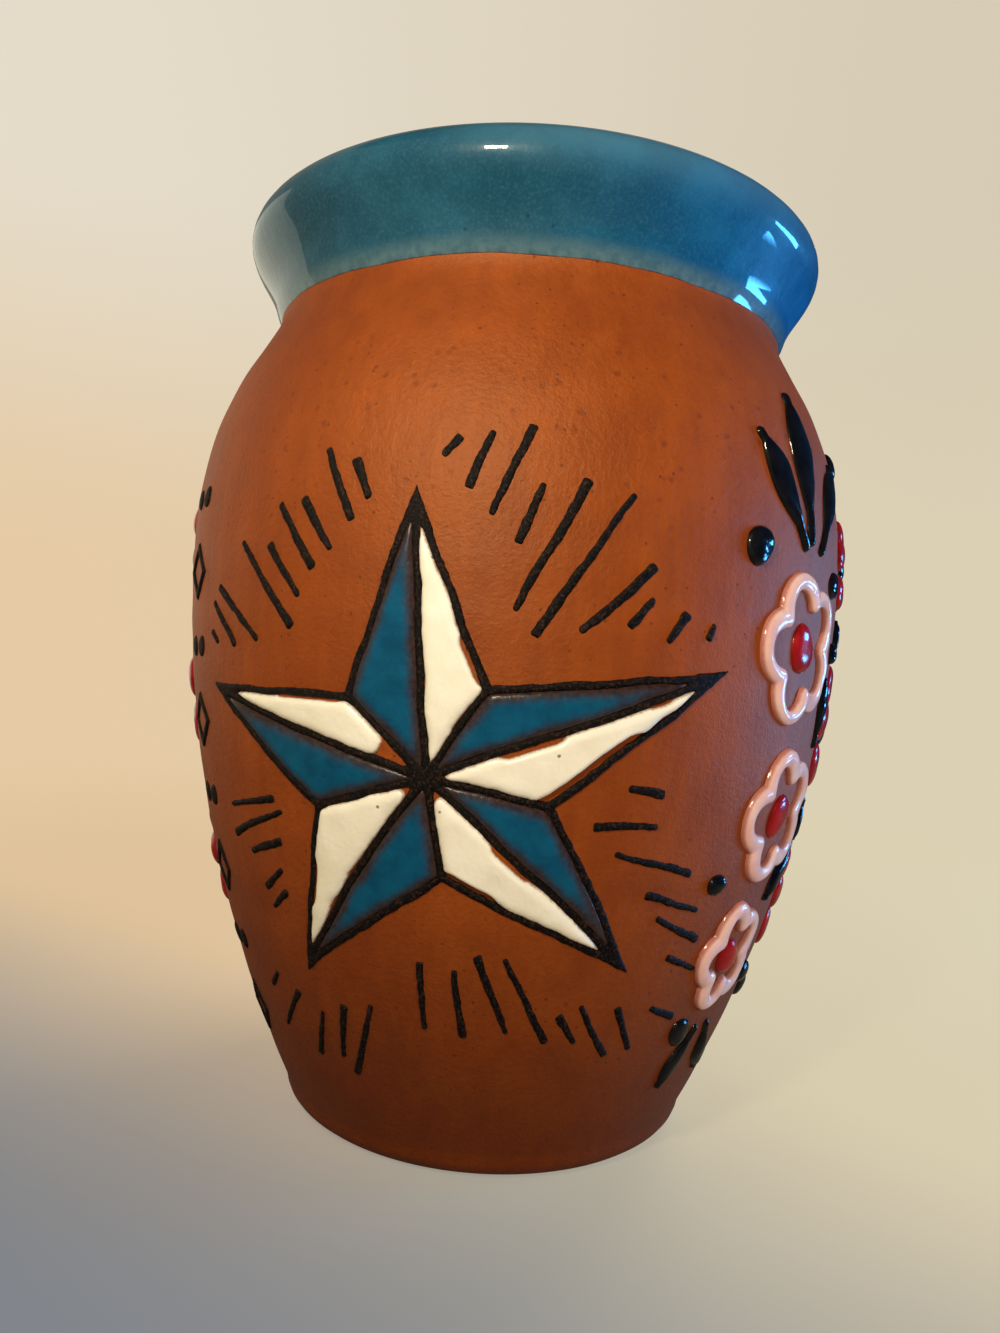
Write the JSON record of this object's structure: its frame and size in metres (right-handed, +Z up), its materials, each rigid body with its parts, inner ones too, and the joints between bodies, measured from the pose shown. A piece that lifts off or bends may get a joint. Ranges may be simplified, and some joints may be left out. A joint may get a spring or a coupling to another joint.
{
  "type": "jarrito clay mug",
  "caption": "Round-bellied terracotta mug with a flared glazed rim, a strap handle behind, and a two-tone star, short rays and trailed flowers in raised glaze.",
  "frame": {"origin": "centre of the flat base, on the surface that the mug stands on", "axes": "+Z up along the mug's axis; the star faces -Y and the handle is at +Y"},
  "size_m": [0.092, 0.1186, 0.1201],
  "materials": {
    "terracotta": "bare fired clay, satin where it was burnished",
    "clay_slip": "matte fired slip",
    "blue_rim_glaze": "glossy, slightly cloudy",
    "clear_glaze": "clear gloss over clay",
    "star_blue_glaze": "glossy, brown at its thin edges",
    "white_glaze": "glossy, pooled",
    "dark_line_glaze": "matte, grainy",
    "pink_glaze": "glossy raised line",
    "red_glaze": "glossy raised bead",
    "black_glaze": "glossy raised bead"
  },
  "bodies": {
    "root": {"body_shell": "terracotta", "handle": "terracotta", "upper_slip_joint": "clay_slip", "lower_slip_joint": "clay_slip", "rim_glaze": "blue_rim_glaze", "liner_glaze": "clear_glaze", "star_outline": "dark_line_glaze", "star_blue_fields": "star_blue_glaze", "star_white_fields": "white_glaze", "star_rays": "dark_line_glaze", "column_diamonds": "dark_line_glaze", "column_dots": "dark_line_glaze", "pink_flowers": "pink_glaze", "flower_centres": "red_glaze", "red_rosettes": "red_glaze", "rosette_centres": "black_glaze", "black_leaves": "black_glaze", "black_dots": "black_glaze"}
  },
  "joints": []
}
